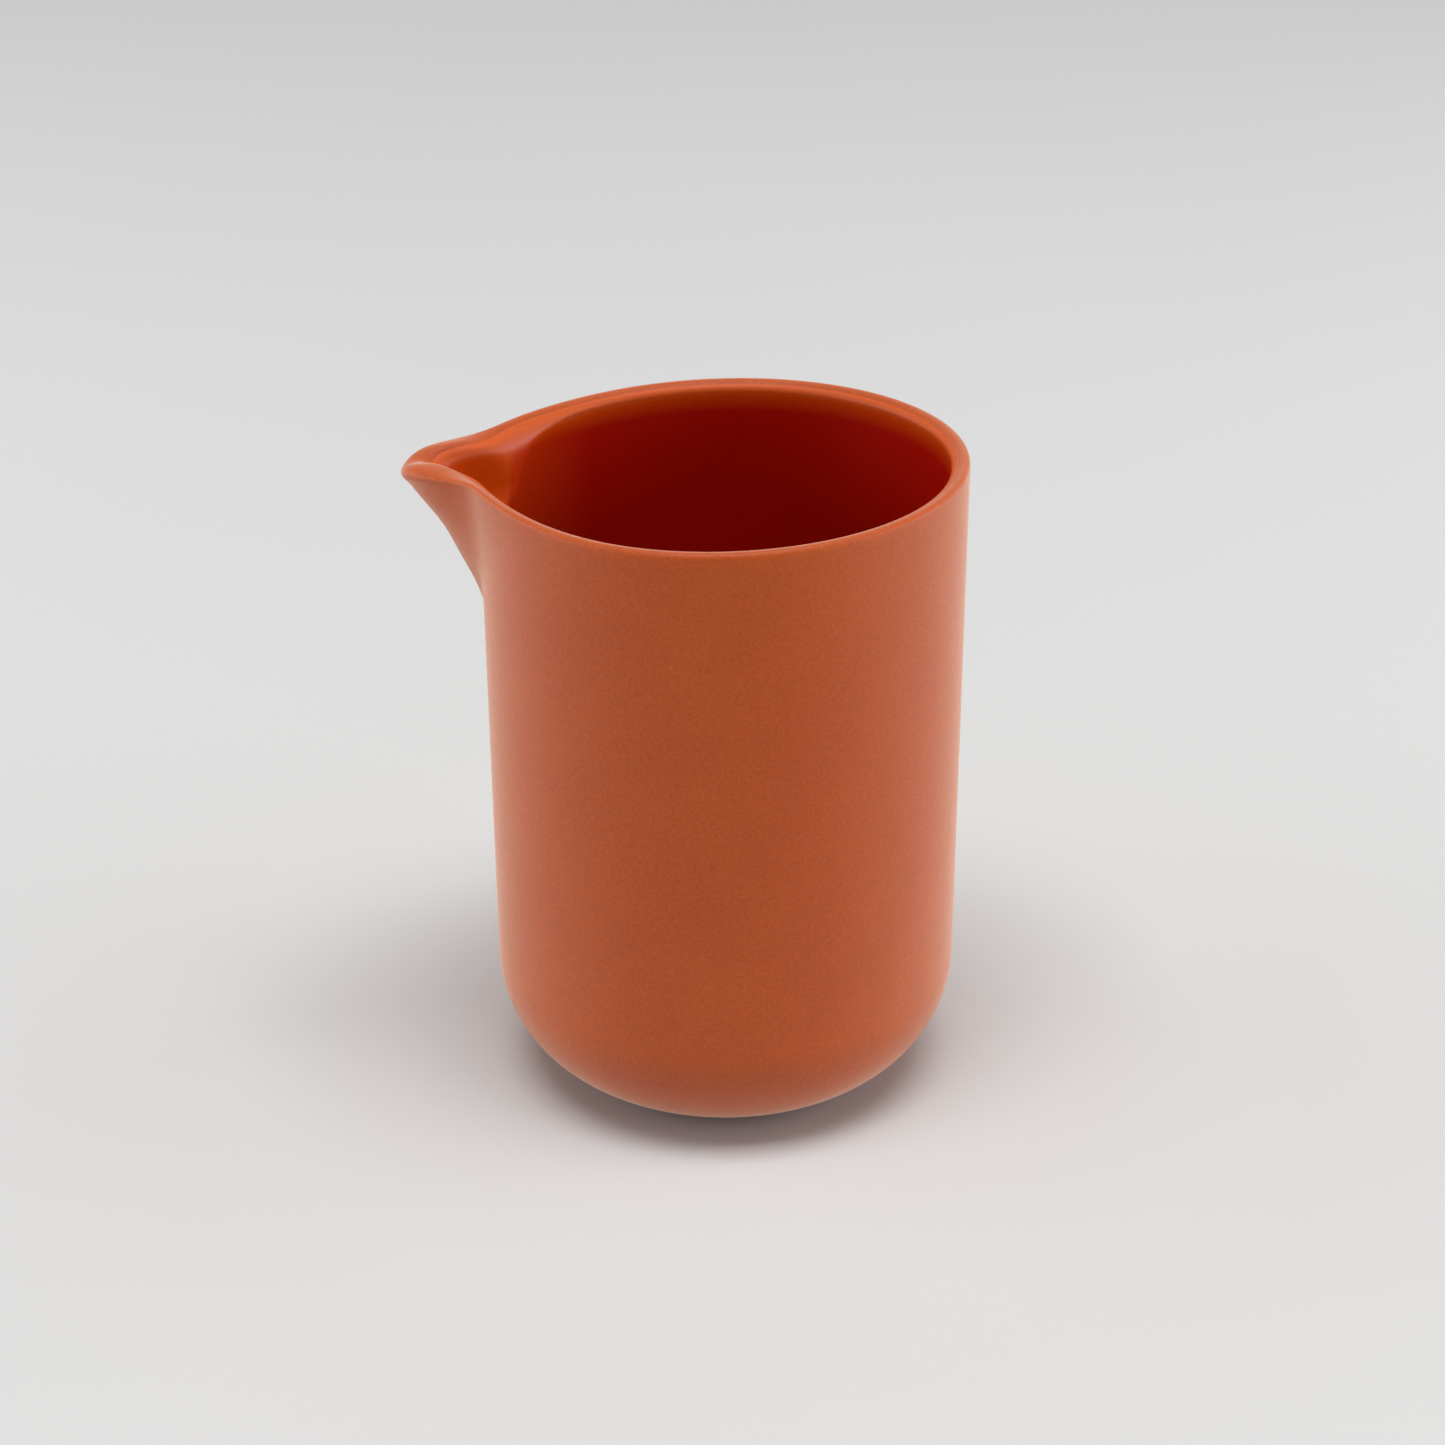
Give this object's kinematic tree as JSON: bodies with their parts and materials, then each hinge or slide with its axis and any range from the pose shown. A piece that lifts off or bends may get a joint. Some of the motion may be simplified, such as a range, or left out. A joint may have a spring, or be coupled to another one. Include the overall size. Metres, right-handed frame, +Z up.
{
  "type": "ceramic pitcher",
  "caption": "Small straight-sided ceramic pitcher with a rounded base, a beaked pouring spout and a glazed inside.",
  "frame": {"origin": "middle of the foot, on the plane it stands on and on the body's axis", "axes": "+Z up the body's axis, -X towards the spout"},
  "size_m": [0.0992, 0.085, 0.1191],
  "materials": {
    "clay": "matte",
    "glaze": "gloss"
  },
  "bodies": {
    "root": {"body": "clay", "spout": "clay", "glaze_lining": "glaze", "trough_glaze": "glaze"}
  },
  "joints": []
}
